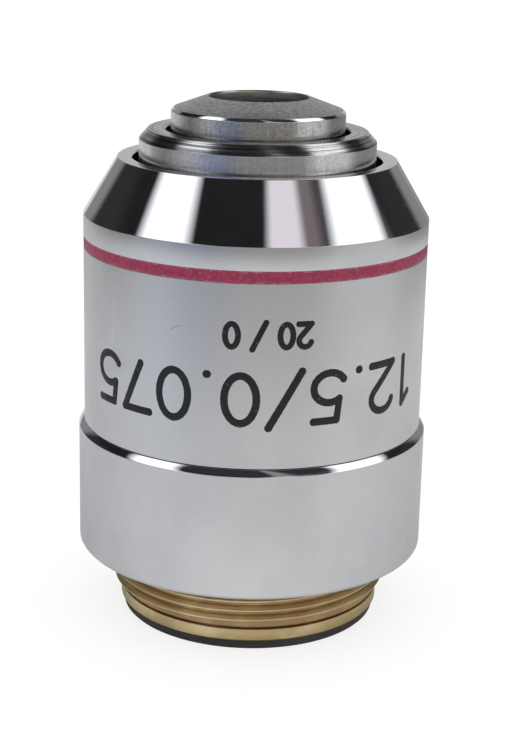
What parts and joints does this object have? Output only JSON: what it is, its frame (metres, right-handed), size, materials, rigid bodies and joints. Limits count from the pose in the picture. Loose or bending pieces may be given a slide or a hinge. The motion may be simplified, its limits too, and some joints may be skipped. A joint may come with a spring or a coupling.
{
  "type": "microscope objective",
  "caption": "Low-power plan microscope objective: brass mounting thread, satin plated barrels, colour band, polished cone and nested nose sleeves over a stack of lenses.",
  "frame": {"origin": "centre of the black ring's rear face, on the optical axis", "axes": "+Z along the optical axis from the thread to the nose; X and Y square to it"},
  "size_m": [0.0254, 0.0254, 0.0381],
  "materials": {
    "satin_chrome": "satin plating, fine turned grain, with polished chamfer and cone",
    "bright_chrome": "bright plating over turned rings",
    "turned_brass": "bare turned brass, slightly tarnished",
    "black_ring": "matte black",
    "band_enamel": "raspberry enamel, slightly grainy",
    "blackened_metal": "black anodised",
    "lens_glass": "polished optical glass with a thin coating"
  },
  "bodies": {
    "root": {"rear_ring": "black_ring", "thread_mount": "turned_brass", "lower_barrel": "satin_chrome", "upper_barrel": "satin_chrome", "colour_band": "band_enamel", "lens_barrel": "bright_chrome", "parfocal_shim": "turned_brass", "parfocal_lock_ring": "blackened_metal", "front_cell": "bright_chrome", "front_lens": "lens_glass", "front_lens_ring": "blackened_metal", "aperture_stop": "blackened_metal", "middle_cell": "blackened_metal", "middle_flint_lens": "lens_glass", "middle_crown_lens": "lens_glass", "middle_lens_ring": "blackened_metal", "spacer_ring": "blackened_metal", "rear_cell": "blackened_metal", "rear_crown_lens": "lens_glass", "rear_flint_lens": "lens_glass", "rear_lens_ring": "blackened_metal", "stack_clamp_ring": "blackened_metal"}
  },
  "joints": []
}
